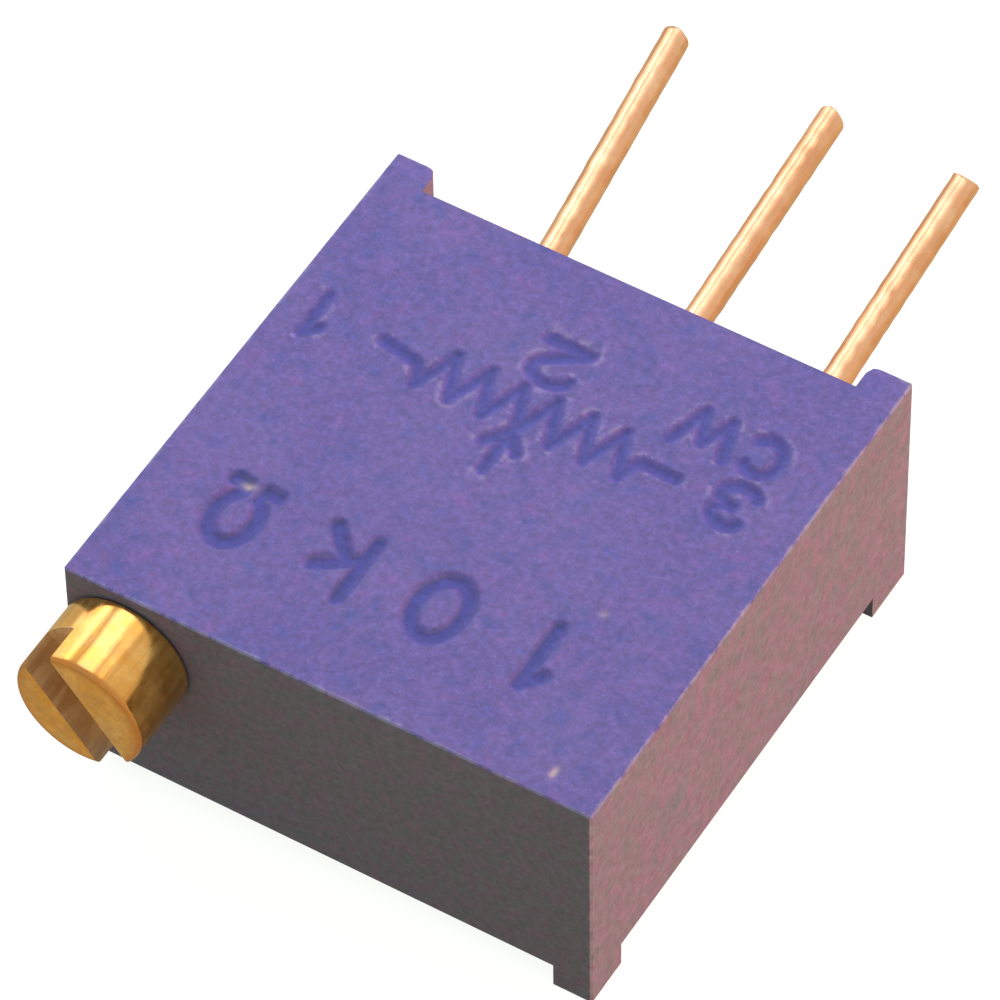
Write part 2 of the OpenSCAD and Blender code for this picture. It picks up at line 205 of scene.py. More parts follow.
def smallMarks(m):
    # the single characters, and the resistor: a lead, an even zigzag and a lead, with an arrow down onto it
    marks = []
    for letter, place, size in m["small"]:
        marks += placed(glyphs[letter], place, size, m["smallStroke"])
    start, stop, count = m["zigzagFrom"], m["zigzagTo"], m["zigzagStrokes"]
    x = np.linspace(start, stop, 2 * count + 1)[1::2]
    rise = np.where(np.arange(count) % 2 == 0, 0.5, -0.5)
    before, after = [(start - m["leadIn"], 0), (start, 0)], [(stop, 0.05), (stop + m["leadOut"], -0.1)]
    line = np.vstack([before, np.stack([x, rise], axis=1), after])
    place, size = (0, m["zigzagRow"]), (1, m["zigzagHeight"])
    marks += placed([line], place, size, m["zigzagStroke"])
    tip, barb, bar = m["arrowAt"], m["arrowBarb"], m["arrowBar"]
    arrow = [[(tip, 1.62), (tip, 0.5)], [(tip - barb, 1.0), (tip, 0.55), (tip + barb, 1.0)],
             [(tip - bar, 0.85), (tip + bar, 0.85)]]
    return marks + placed(arrow, place, size, m["smallStroke"])


def strokeDistance(x, y, lines):
    # how far a point lies outside the nearest stroke's edge: the distance to the stroke's middle line,
    # less half the stroke's width; it is below zero inside the stroke
    a = np.vstack([line[:-1] for line, w in lines])
    b = np.vstack([line[1:] for line, w in lines])
    half = np.concatenate([np.full(len(line) - 1, w / 2) for line, w in lines])
    along = b - a
    size = (along ** 2).sum(1)
    beyond = np.full(x.shape, np.inf)
    for p0, d, s, h in zip(a, along, size, half):
        t = np.clip(((x - p0[0]) * d[0] + (y - p0[1]) * d[1]) / s, 0, 1)
        beyond = np.minimum(beyond, np.hypot(x - p0[0] - t * d[0], y - p0[1] - t * d[1]) - h)
    return beyond


def gridLines(low, high, fineSpans, fine, coarse):
    # rising places from low to high: closely spaced inside the fine spans and wide outside them
    stops = [low] + [v for span in fineSpans for v in span] + [high]
    parts = []
    for k in range(len(stops) - 1):
        cell = fine if k % 2 else coarse
        count = max(1, int(round((stops[k + 1] - stops[k]) / cell)))
        parts.append(np.linspace(stops[k], stops[k + 1], count + 1)[:-1])
    return np.append(np.concatenate(parts), high)


# shared shader effects

def feed(tree, node, inputs):
    # an input that is given a socket is linked to it, and any other is set to what it is given
    for key, value in inputs.items():
        if isinstance(value, bpy.types.NodeSocket):
            tree.links.new(value, node.inputs[key])
        else:
            node.inputs[key].default_value = value
    return node.outputs


def addNode(tree, kind, inputs=None, **settings):
    # a new node with its settings made and its inputs fed; gives its outputs
    node = tree.nodes.new(kind)
    for key, value in settings.items():
        setattr(node, key, value)
    return feed(tree, node, inputs or {})


def newGroup(name, takes, gives):
    # an empty node group with named sockets; takes and gives map a socket's name to its kind or default
    tree = bpy.data.node_groups.new(name, "ShaderNodeTree")
    kinds = {float: "NodeSocketFloat", tuple: "NodeSocketColor", str: "NodeSocketVector"}
    for label, start in takes.items():
        socket = tree.interface.new_socket(label, in_out="INPUT", socket_type=kinds[type(start)])
        if not isinstance(start, str):
            socket.default_value = start
    for label, start in gives.items():
        tree.interface.new_socket(label, in_out="OUTPUT", socket_type=kinds[type(start)])
    return tree, tree.nodes.new("NodeGroupInput").outputs, tree.nodes.new("NodeGroupOutput").inputs


def mathNode(tree, operation, *values, clamp=False):
    # one step of arithmetic; each value is a socket or a number
    return addNode(tree, "ShaderNodeMath", dict(enumerate(values)), operation=operation, use_clamp=clamp)[0]


def vectorNode(tree, operation, *values):
    # the same for vectors
    return addNode(tree, "ShaderNodeVectorMath", dict(enumerate(values)), operation=operation)[0]


def mixColour(tree, factor, one, other, blend="MIX"):
    # one colour where the factor is 0, the other where it is 1; inputs 6 and 7 and output 2 are the colours
    node = tree.nodes.new("ShaderNodeMix")
    node.data_type, node.blend_type = "RGBA", blend
    return feed(tree, node, {0: factor, 6: one, 7: other})[2]


def spread(tree, value, low, high, toLow=0.0, toHigh=1.0):
    # a value's range from low to high drawn out to toLow to toHigh, easing in and out
    inputs = {"Value": value, "From Min": low, "From Max": high, "To Min": toLow, "To Max": toHigh}
    return addNode(tree, "ShaderNodeMapRange", inputs, interpolation_type="SMOOTHSTEP")["Result"]


def noiseOf(tree, vector, scale, detail, rough):
    # soft noise between 0 and 1
    inputs = {"Vector": vector, "Scale": scale, "Detail": detail, "Roughness": rough}
    return addNode(tree, "ShaderNodeTexNoise", inputs)["Fac"]


def attributeOf(tree, name):
    # the number that the mesh carries at each vertex
    return addNode(tree, "ShaderNodeAttribute", attribute_name=name)["Fac"]


def makeGrain():
    # two sizes of noise: fine grains that shift the colour to the light or the dark tone, and broad clouds
    takes = {"Vector": "", "Color": (0.5, 0.5, 0.5, 1), "Light Color": (0.8, 0.8, 0.8, 1),
             "Dark Color": (0.2, 0.2, 0.2, 1), "Grains per mm": 20.0, "Clouds per mm": 0.5, "Amount": 0.5}
    tree, take, give = newGroup("fineGrain", takes, {"Color": (), "Height": 0.0})
    grain = noiseOf(tree, take["Vector"], take["Grains per mm"], 2.0, 0.6)
    cloud = noiseOf(tree, take["Vector"], take["Clouds per mm"], 3.0, 0.55)
    tones = [(grain, 0.48, 0.72, 1.0, "Light Color"), (grain, 0.52, 0.3, 1.0, "Dark Color"),
             (cloud, 0.35, 0.7, 0.45, "Light Color")]
    colour = take["Color"]
    for noise, low, high, share, tone in tones:
        part = mathNode(tree, "MULTIPLY", spread(tree, noise, low, high, 0.0, share), take["Amount"])
        colour = mixColour(tree, part, colour, take[tone])
    tree.links.new(colour, give["Color"])
    tree.links.new(grain, give["Height"])
    return tree


def makeEdgeWearAndHighlight():
    # on a block, the second smallest of the three distances to its faces is the distance to its nearest edge
    takes = {"Vector": "", "Centre": "", "Half Size": "", "Width": 0.1, "Breakup": 0.5}
    tree, take, give = newGroup("edgeWearAndHighlight", takes, {"Mask": 0.0})
    offset = vectorNode(tree, "SUBTRACT", take["Vector"], take["Centre"])
    depth = vectorNode(tree, "SUBTRACT", take["Half Size"], vectorNode(tree, "ABSOLUTE", offset))
    d = addNode(tree, "ShaderNodeSeparateXYZ", {0: depth})
    least = mathNode(tree, "MINIMUM", d[0], d[1])
    most = mathNode(tree, "MAXIMUM", d[0], d[1])
    second = mathNode(tree, "MAXIMUM", least, mathNode(tree, "MINIMUM", most, d[2]))
    rub = noiseOf(tree, take["Vector"], 3.0, 4.0, 0.7)
    swing = mathNode(tree, "MULTIPLY", take["Breakup"], 4.0)
    uneven = mathNode(tree, "MULTIPLY_ADD", mathNode(tree, "SUBTRACT", rub, 0.5), swing, 1.0)
    reach = mathNode(tree, "MULTIPLY", take["Width"], mathNode(tree, "MAXIMUM", uneven, 0.05))
    mask = mathNode(tree, "DIVIDE", mathNode(tree, "SUBTRACT", reach, second), reach, clamp=True)
    tree.links.new(mask, give["Mask"])
    return tree


def makeLines():
    # noise drawn out along one axis, as left by a die or a turning tool
    takes = {"Vector": "", "Squeeze": "", "Lines per mm": 20.0}
    tree, take, give = newGroup("toolLines", takes, {"Height": 0.0, "Mask": 0.0})
    squeezed = vectorNode(tree, "MULTIPLY", take["Vector"], take["Squeeze"])
    lines = noiseOf(tree, squeezed, take["Lines per mm"], 3.0, 0.6)
    blotch = noiseOf(tree, take["Vector"], 2.2, 3.0, 0.6)
    tree.links.new(lines, give["Height"])
    tree.links.new(spread(tree, blotch, 0.4, 0.68), give["Mask"])
    return tree


def makeSpecks():
    # small scattered bits: the middles of a few cells of a cell pattern
    takes = {"Vector": "", "Specks per mm": 3.0, "Size": 0.1}
    tree, take, give = newGroup("dustSpecks", takes, {"Mask": 0.0})
    cell = addNode(tree, "ShaderNodeTexVoronoi", {"Vector": take["Vector"], "Scale": take["Specks per mm"]})
    pick = addNode(tree, "ShaderNodeSeparateColor", {0: cell["Color"]})[0]
    off = mathNode(tree, "DIVIDE", cell["Distance"], take["Size"])
    near = mathNode(tree, "SUBTRACT", 1.0, off, clamp=True)
    tree.links.new(mathNode(tree, "MULTIPLY", near, spread(tree, pick, 0.72, 0.8)), give["Mask"])
    return tree


grainGroup, wearAndHighlightGroup, linesGroup, specksGroup = makeGrain(), makeEdgeWearAndHighlight(), makeLines(), makeSpecks()


def placeGroup(tree, group, inputs):
    # one use of a group of nodes
    return addNode(tree, "ShaderNodeGroup", inputs, node_tree=group)


def newMaterial(name, **fixed):
    # a material with a Principled shader, and its object coordinates in millimetres
    material = bpy.data.materials.new(name)
    material.use_nodes = True
    tree = material.node_tree
    shader = tree.nodes["Principled BSDF"]
    for key, value in fixed.items():
        shader.inputs[key.replace("_", " ")].default_value = value
    own = addNode(tree, "ShaderNodeTexCoord")["Object"]
    place = addNode(tree, "ShaderNodeMapping", {"Vector": own, "Scale": (1 / mm,) * 3})[0]
    return material, tree, shader, place


def finish(tree, shader, look, colour, height):
    # the colour, a roughness that follows the height, and a bump of it, given in thousandths of a millimetre
    rough = spread(tree, height, 0.3, 0.7, *look["rough"])
    inputs = {"Height": height, "Distance": look["bump"] * 1e-6, "Strength": 1.0}
    bump = addNode(tree, "ShaderNodeBump", inputs)[0]
    feed(tree, shader, {"Base Color": colour, "Roughness": rough, "Normal": bump})


def grained(name, look):
    # a plain solid with grain and a little dust: plastics, ceramic, resin, rubber
    material, tree, shader, place = newMaterial(name, **look.get("fixed", {}))
    grain = placeGroup(tree, grainGroup, {"Vector": place, "Color": look["colour"],
                                          "Light Color": look["light"], "Dark Color": look["dark"],
                                          "Grains per mm": look["grains"], "Clouds per mm": look["clouds"],
                                          "Amount": look["amount"]})
    specks = placeGroup(tree, specksGroup, {"Vector": place, "Specks per mm": look.get("specks", 2.0),
                                            "Size": look.get("speckSize", 0.05)})["Mask"]
    strength = mathNode(tree, "MULTIPLY", specks, look.get("speckStrength", 0.5))
    colour = mixColour(tree, strength, grain["Color"], look["light"])
    finish(tree, shader, look, colour, grain["Height"])
    return material, tree, shader, place, colour


def metal(name, look):
    # a metal with a second tone in blotches, tool lines with painted shade in their hollows, and where the
    # look asks for them a painted dark band on the rim and a film of dust
    material, tree, shader, place = newMaterial(name, Metallic=1.0)
    lines = placeGroup(tree, linesGroup, {"Vector": place, "Squeeze": look["squeeze"],
                                          "Lines per mm": look["lines"]})
    colour = mixColour(tree, lines["Mask"], look["colour"], look["second"])
    # painted shade in the tool lines' hollows: darker where the bump is low
    hollowShade = spread(tree, lines["Height"], 0.62, 0.35)
    tone = mathNode(tree, "MULTIPLY", hollowShade, look.get("lineShade", 0.25))
    colour = mixColour(tree, tone, colour, look["dark"])
    if "paintedRimShade" in look:
        # a painted dark band on the rim
        rim = mathNode(tree, "MULTIPLY", attributeOf(tree, "rim"), look["paintedRimShadeAmount"])
        colour = mixColour(tree, rim, colour, look["paintedRimShade"])
    if "dust" in look:
        # a thin uneven film of dust, which isn't metal
        clouds = noiseOf(tree, place, look["dustClouds"], 3.0, 0.6)
        film = spread(tree, clouds, 0.3, 0.7, *look["dustAmount"])
        colour = mixColour(tree, film, colour, look["dust"])
        feed(tree, shader, {"Metallic": mathNode(tree, "SUBTRACT", 1.0, film)})
    finish(tree, shader, look, colour, lines["Height"])
    return material


def rgb(r, g, b):
    # an opaque colour, in linear light
    return (r, g, b, 1.0)


# moulded housing

housingLook = dict(
    fixed=dict(Specular_IOR_Level=0.35),
    colour=rgb(0.141, 0.096, 0.42), light=rgb(0.24, 0.16, 0.49), dark=rgb(0.095, 0.071, 0.38),
    grains=16.0, clouds=0.45, amount=0.5, rough=(0.42, 0.6), bump=2.2,
    specks=1.6, speckSize=0.04, speckStrength=0.35,
    speckles=7.0, speckleAmount=1.05,      # a fine uneven tone over everything
    patches=3.2, pinker=rgb(0.235, 0.108, 0.45), bluer=rgb(0.075, 0.090, 0.42), patchAmount=0.8,
    # painted sheen on the sides: a greyer tone and, in patches, a pinker one
    paintedSheen=rgb(0.205, 0.20, 0.185), paintedSheenTwo=rgb(0.25, 0.17, 0.215), paintedSheenAmount=0.55,
    paintedSheenDepth=(0.06, 0.015),              # depths below the marked face: full painted sheen, and none
    # painted shade in the sunk strokes: a darker, bluer tone where the marks are pressed in
    markShadeColour=rgb(0.067, 0.056, 0.41), markShadeAmount=0.9,
    # painted highlight on the lips round the small marks, in patches
    lipHighlightColour=rgb(0.36, 0.31, 0.60), lipHighlightAmount=0.4,
    nickColour=rgb(0.62, 0.42, 0.5), nickDepth=0.02,
    # small nicks: where each one is, its half widths along x and y, and how pale and deep it is
    nicks=[(-3.19, -2.11, 0.14, 0.085, 1.0), (2.95, -1.5, 0.09, 0.09, 0.4), (3.86, -4.54, 0.065, 0.13, 0.95)],
    # pale edges: partly wear, partly a painted highlight along the rounded edges
    edgeWearAndHighlightColour=rgb(0.36, 0.30, 0.52), wearAndHighlightWidth=0.05, wearAndHighlightBreakup=1.5, wearAndHighlightAmount=0.75,
    edgeSoft=0.03, sharpEdge=20,           # width of the outer edges' rounding, and the least angle rounded
    outerSkin=0.1,                         # an edge this near to the body's outer faces is an outer edge,
    topSkin=0.07,                          # as is one this near to the marked face,
    footTop=0.56,                          # or below this height, on the pads and the walls' feet
    pinWallDepth=0.51,                     # the pins' wall stands this far behind the standoffs' ends
)


def housingMaterial(look):
    # blue plastic in several tones, chalky below the marked face, with its marks, nicks and rubbed edges
    material, tree, shader, place, colour = grained("moulded_blue_plastic", look)
    # soft patches, a little pinker and a little bluer
    patch = noiseOf(tree, place, look["patches"], 3.0, 0.6)
    colour = mixColour(tree, spread(tree, patch, 0.5, 0.8, 0.0, look["patchAmount"]), colour, look["pinker"])
    colour = mixColour(tree, spread(tree, patch, 0.5, 0.2, 0.0, look["patchAmount"]), colour, look["bluer"])
    # painted sheen: the sides are painted greyer than the marked face, and pinker in patches
    height = addNode(tree, "ShaderNodeSeparateXYZ", {0: place})[2]
    low, high = (bodyHigh[2] - d for d in look["paintedSheenDepth"])
    paintedSheenMask = spread(tree, height, low, high, look["paintedSheenAmount"], 0.0)
    paintedSheen = mixColour(tree, spread(tree, patch, 0.38, 0.62), look["paintedSheen"], look["paintedSheenTwo"])
    colour = mixColour(tree, paintedSheenMask, colour, paintedSheen)
    # marks and nicks lie below the face: painted shade in strokes, painted highlight on lips, pale nicks
    pressed, lip, nick = (attributeOf(tree, name) for name in ("pressed", "lip", "nick"))
    # painted highlight on the small marks' lips, in patches
    lipHighlight = mathNode(tree, "MULTIPLY", lip, spread(tree, patch, 0.5, 0.62, 0.0, look["lipHighlightAmount"]))
    colour = mixColour(tree, lipHighlight, colour, look["lipHighlightColour"])
    # painted shade in the marks' strokes
    mark = mathNode(tree, "MULTIPLY", pressed, look["markShadeAmount"])
    colour = mixColour(tree, mark, colour, look["markShadeColour"])
    colour = mixColour(tree, nick, colour, look["nickColour"])
    # the outer edges are worn pale, unevenly, with a painted pale highlight along them
    centre, half = (bodyLow + bodyHigh) / 2, (bodyHigh - bodyLow) / 2
    wearAndHighlight = placeGroup(tree, wearAndHighlightGroup, {"Vector": place, "Centre": tuple(centre), "Half Size": tuple(half),
                                        "Width": look["wearAndHighlightWidth"], "Breakup": look["wearAndHighlightBreakup"]})["Mask"]
    colour = mixColour(tree, mathNode(tree, "MULTIPLY", wearAndHighlight, look["wearAndHighlightAmount"]), colour, look["edgeWearAndHighlightColour"])
    # a fine uneven tone over all of it
    speckle = noiseOf(tree, place, look["speckles"], 4.0, 0.7)
    tone = mathNode(tree, "MULTIPLY_ADD", speckle, look["speckleAmount"], 1.0 - look["speckleAmount"] / 2)
    colour = mixColour(tree, 1.0, colour, tone, "MULTIPLY")
    tree.links.new(colour, shader.inputs["Base Color"])
    return material


def markedFace(look, m):
    # the marked face as a height over a grid: sunk by the marks' depth where a stroke runs, raised a little
    # round the small marks, and with small nicks, each a bell curve in x and y
    cells, margin = (m["fineCell"], m["coarseCell"]), m["sideMargin"]
    xs = gridLines(bodyLow[0] + margin, bodyHigh[0] - margin, m["fineX"], *cells)
    ys = gridLines(bodyLow[1] + margin, bodyHigh[1] - m["pinWallMargin"], m["fineY"], *cells)
    y, x = np.meshgrid(ys, xs, indexing="ij")
    soft = m["soft"]
    aroundSmall = strokeDistance(x, y, smallMarks(m))
    value = smoothStep((soft - strokeDistance(x, y, valueMarks(m))) / (2 * soft))
    small = smoothStep((soft - aroundSmall) / (2 * soft))
    lip = np.exp(-((aroundSmall - soft) / m["lipWidth"]) ** 2)
    pressed = np.maximum(value, small)
    nick = np.zeros(x.shape)
    for cx, cy, rx, ry, strength in look["nicks"]:
        nick = np.maximum(nick, strength * np.exp(-1.5 * (((x - cx) / rx) ** 2 + ((y - cy) / ry) ** 2)))
    z = bodyHigh[2] - m["valueDepth"] * value - m["smallDepth"] * small
    z += m["lipHeight"] * lip - look["nickDepth"] * nick
    mesh = newMesh("markedFace", np.stack([x, y, z], axis=-1).reshape(-1, 3), [gridQuads(len(ys), len(xs))])
    for name, values in (("pressed", pressed), ("lip", lip), ("nick", nick)):
        addAttribute(mesh, name, values)
    return mesh


def mergedCopy(node):
    # a CAD node's mesh in millimetres, its doubles merged and its flat faces joined up
    bm = bmesh.new()
    bm.from_mesh(frame["nodes"][node].data)
    bmesh.ops.scale(bm, vec=(1 / mm,) * 3, verts=bm.verts)
    bmesh.ops.remove_doubles(bm, verts=bm.verts, dist=0.0008)
    bmesh.ops.dissolve_limit(bm, angle_limit=math.radians(0.8), verts=bm.verts, edges=bm.edges)
    return bm


def meshFrom(bm, name):
    # a new mesh from the one that has been worked on
    mesh = bpy.data.meshes.new(name)
    bm.to_mesh(mesh)
    bm.free()
    return mesh


def makeHousing(look, m):
    # the CAD shell with its outer edges rounded, and with the marked face in place of its plain top
    bm = mergedCopy("housing")
    top, skin, sharp = bodyHigh[2], look["outerSkin"], math.radians(look["sharpEdge"])

    def outside(v):
        # whether a corner lies on the body's outer skin
        x, y, z = v.co
        return (abs(x) > bodyHigh[0] - skin or y < bodyLow[1] + skin or y > bodyHigh[1] - look["pinWallDepth"]
                or z > top - look["topSkin"] or z < look["footTop"])

    outer = [e for e in bm.edges if e.is_manifold and e.calc_face_angle_signed(0) > sharp
             and all(outside(v) for v in e.verts)]
    breakEdges(bm, outer, look["edgeSoft"])
    plain = [f for f in bm.faces if f.normal.z > 0.999 and abs(f.calc_center_median().z - top) < 0.004]
    rim = [e for e in bm.edges if sum(f in plain for f in e.link_faces) == 1]
    bmesh.ops.delete(bm, geom=plain, context="FACES_ONLY")
    rim = [e for e in rim if e.is_valid]
    known = set(bm.edges)
    bm.from_mesh(markedFace(look, m))
    inner = [e for e in bm.edges if e not in known and e.is_boundary]
    bmesh.ops.triangle_fill(bm, edges=rim + inner, use_beauty=True, normal=(0, 0, 1))
    mesh = meshFrom(bm, "moulded_housing")
    return addPiece("moulded_housing", mesh, housingMaterial(look), "housing", "housing", 50)


makeHousing(housingLook, marksLook)
print("stage: housing made")


# the turned screw, the drawn pins, the ring and the solder

screwLook = dict(
    # radii, from the head to the tail, and of the ring groove's floor
    head=1.155, journal=0.8, neck=0.45, collar=0.78, relief=0.28, tail=0.38, ringFloor=0.51,
    # places along the axis, from the screw-side face
    ringGroove=(0.36, 0.72), clipGroove=(1.36, 1.66), collarLength=0.3, reliefLength=0.25,
    # the head's rim, the hollow in its end as depths and radii, and its back as distances off the face and
    # drops in radius
    rim=0.08, dish=[(0.006, 0.03), (0.004, 0.35)], dishEdge=0.12,
    headBack=[(0.08, 0.0), (0.05, 0.006), (0.03, 0.03)],
    soft=0.012, tailSoft=0.03, headRows=60, sides=144,
    lead=0.6597, wormPitch=0.55, wormTip=0.739, wormRoot=0.3, backlash=0.06, flank=20.0,
    # points that round the thread's corners: how far they are past the sharp corner, away from the crest's
    # middle, and how far the middle two are below the crest or above the root
    crestCorner=(-0.012, -0.004, 0.002, 0.008), crestDrop=(0.0025, 0.0095),
    footCorner=(-0.012, -0.004, 0.004, 0.014), footRise=(0.0135, 0.004),
    wormReach=2.15, runOut=0.24,           # half the worm's length, and how long its thread takes to run out
    slotWidth=0.68, slotDepth=0.72, slotTurn=52.5, slotShift=0.07, slotSoft=0.022,
    sawReach=1.6, sawStart=0.5,            # how far the saw goes past the slot's middle, and before the head
    colour=rgb(0.86, 0.43, 0.08), second=rgb(0.95, 0.56, 0.17), dark=rgb(0.66, 0.28, 0.045),
    squeeze=(1.0, 0.06, 1.0), lines=7.0, rough=(0.13, 0.25), bump=2.6, lineShade=0.5,
    # painted shade: a dark band along the head's rounded rim
    paintedRimShade=rgb(0.60, 0.21, 0.03), paintedRimShadeAmount=0.85, rimReach=0.1,
    dust=rgb(0.42, 0.37, 0.30), dustClouds=3.0, dustAmount=(0.06, 0.22),
    # the sawn slot, duller and browner than the turned faces
    sawn=dict(colour=rgb(0.79, 0.60, 0.40), second=rgb(0.85, 0.66, 0.45), dark=rgb(0.61, 0.42, 0.26),
              squeeze=(1.0, 0.1, 1.0), lines=9.0, rough=(0.45, 0.6), bump=2.0, lineShade=0.5),
)

pinLook = dict(
    radius=0.255, headRadius=0.42, headThick=0.13, elbow=0.3, bend=1.0,
    shank=3.295, wall=4.515, height=1.64,  # Y of the shank and of the pins' wall's outer face, Z of the wires
    exits=(-2.68, -0.03, 2.58), lean=(7.2, 3.2, 3.1), reach=(7.05, 6.82, 6.85),
    shear=(12.0, 16.0, 34.0),              # slope of the cut across each tip, in degrees
    cutTurn=(200.0, 200.0, 105.0),         # which way that slope faces, about the pin
    tipRound=(0.07, 0.055),                # length and depth of the tip's rounding
    swell=0.012, sides=40,                 # the drawn wire's unevenness
    fadeLength=0.4,                        # the length over which it starts, and the cut ends
    colour=rgb(0.88, 0.475, 0.285), second=rgb(0.93, 0.59, 0.385), dark=rgb(0.70, 0.31, 0.145),
    squeeze=(1.0, 0.12, 1.0), lines=4.5, rough=(0.24, 0.36), bump=2.6, lineShade=0.5,
    dust=rgb(0.52, 0.38, 0.28), dustClouds=2.5, dustAmount=(0.06, 0.22),
)


def around(count):
    # angles of a full turn, as one row
    return np.linspace(0, 2 * np.pi, count, endpoint=False)[None, :]


def ripple(u, v, seed, waves=6):
    # a smooth, repeatable bumpy field over u (0 to 1 round) and v (any length): a sum of sine waves
    rng = np.random.default_rng(seed)
    total = np.zeros(np.broadcast(u, v).shape)
    for k in range(waves):
        across, along, start = rng.integers(0, 4), rng.uniform(0.4, 2.6), rng.uniform(0, 6.28)
        total += np.sin(2 * np.pi * (across * u + along * v) + start) / waves ** 0.5
    return total


def outward(mesh):
    # turns a closed mesh's faces to point out of it
    bm = bmesh.new()
    bm.from_mesh(mesh)
    bmesh.ops.recalc_face_normals(bm, faces=bm.faces)
    bm.to_mesh(mesh)
    bm.free()
    return mesh


def joined(mesh):
    # parts that meet in the same points become one, and what has no area goes
    bm = bmesh.new()
    bm.from_mesh(mesh)
    bmesh.ops.remove_doubles(bm, verts=bm.verts, dist=0.0004)
    bmesh.ops.dissolve_degenerate(bm, dist=0.0004, edges=bm.edges)
    bm.to_mesh(mesh)
    bm.free()
    return outward(mesh)


def tubeMesh(name, rings):
    # rings is rows x sides x 3: closed round each row, with a flat face over the first and the last
    rows, sides = rings.shape[:2]
    quads = gridQuads(rows, sides, closeCols=True)
    caps = [np.arange(sides)[::-1], np.arange((rows - 1) * sides, rows * sides)]
    return outward(newMesh(name, rings.reshape(-1, 3), [quads, caps]))


def hoopMesh(name, rings):
    # rings is rows x sides x 3: closed round each row, and from the last row back to the first
    rows, sides = rings.shape[:2]
    quads = gridQuads(rows + 1, sides, closeCols=True) % (rows * sides)
    return outward(newMesh(name, rings.reshape(-1, 3), [quads]))


def wormEnds(look):
    # the worm lies as far before the rotor's axis as behind it
    return rotorAxis[1] - look["wormReach"], rotorAxis[1] + look["wormReach"]


def threadProfile(look):
    # one thread, from the middle of a crest to the next: distances along the axis, and the radius there;
    # a flat crest, a straight flank and a flat root, and two lowered or raised points to round each corner
    tilt = math.tan(math.radians(look["flank"]))
    tip, root, pitch = look["wormTip"], look["wormRoot"], look["wormPitch"]
    middle = (look["lead"] - look["backlash"]) / 4     # half the thread's width at its pitch radius
    crest, foot = middle - (tip - pitch) * tilt, middle + (pitch - root) * tilt
    crestCorner, footCorner = crest + np.array(look["crestCorner"]), foot + np.array(look["footCorner"])
    away = np.concatenate([[0, 0.055], crestCorner, np.linspace(crest, foot, 5)[1:4], footCorner, [0.29]])
    radius = np.clip(pitch + (middle - away) / tilt, root, tip)
    radius[3:5] = tip - np.array(look["crestDrop"])
    radius[10:12] = root + np.array(look["footRise"])
    away = np.concatenate([away, [look["lead"] / 2], look["lead"] - away[:0:-1]])
    return away, np.concatenate([radius, [root], radius[:0:-1]])


def wormGrid(look, turn):
    # rows that follow the thread round the screw, so that its edges are clean: each column's places are moved
    # on by its share of the lead, and the last column joins the first one a whole thread further on. Past the
    # worm's ends all the rows lie on one plain ring, and towards it the thread runs out
    start, stop = wormEnds(look)
    away, radius = threadProfile(look)
    first = -math.ceil(look["wormReach"] / look["lead"]) - 2
    threads = -2 * first
    crests = rotorAxis[1] + look["lead"] * (first + 0.5 + np.arange(threads))
    y = (crests[:, None] + away).reshape(-1, 1) + look["lead"] * turn / (2 * np.pi)
    on = smoothStep(np.minimum(y - start, stop - y) / look["runOut"])
    radius = look["relief"] + on * (np.tile(radius, threads)[:, None] - look["relief"])
    rows, cols, step = len(y), turn.shape[1], len(away)
    r = np.arange(rows - step - 1)
    last = r * cols + cols - 1
    seam = np.stack([last, (r + step) * cols, (r + step + 1) * cols, last + cols], axis=1)
    return np.clip(y, start, stop), radius, [gridQuads(rows, cols), seam]


def screwProfile(look):
    # places along the axis and the radius there, in two parts: before the worm and after it
    low, high = nodeBox("adjusting_screw")
    end, stop, face, soft = low[1], high[1], screwAxis[1], look["soft"]
    head, journal, relief, tail = look["head"], look["journal"], look["relief"], look["tail"]
    rim, back, pole = look["rim"], look["headBack"], look["dish"][0][1]
    ring, clip = [face + v for v in look["ringGroove"]], [face + v for v in look["clipGroove"]]
    wormStart, wormStop = wormEnds(look)

    def step(y0, y1, radius):
        # a cylinder with its two corners taken off
        return [(y0, radius - soft), (y0 + soft, radius), (y1 - soft, radius), (y1, radius - soft)]

    before = [(end + depth, radius) for depth, radius in look["dish"]]
    before += [(end, head - rim - look["dishEdge"])]
    a = np.linspace(0, np.pi / 2, 7)
    before += [(end + rim * (1 - math.cos(t)), head - rim * (1 - math.sin(t))) for t in a]
    # rows close together, because the rim's painted shade is given at them
    before += [(y, head) for y in np.linspace(end + rim + 0.02, face - back[0][0], look["headRows"])]
    before += [(face - off, head - drop) for off, drop in back[1:]]
    before += [(face - back[-1][0], journal), (ring[0] - soft, journal), (ring[0], journal - soft)]
    before += [(ring[0], look["ringFloor"]), (ring[1], look["ringFloor"])]
    before += step(ring[1], clip[0], journal)
    before += [(clip[0], look["neck"]), (clip[1], look["neck"])]
    collarEnd, tailStart = clip[1] + look["collarLength"], wormStop + look["reliefLength"]
    before += step(clip[1], collarEnd, look["collar"])
    before += [(collarEnd, relief), (wormStart, relief)]
    after = [(wormStop, relief), (tailStart, relief), (tailStart, tail - soft), (tailStart + soft, tail)]
    after += [(stop - look["tailSoft"], tail), (stop, tail - look["tailSoft"]), (stop, pole)]
    return np.array(before), np.array(after)


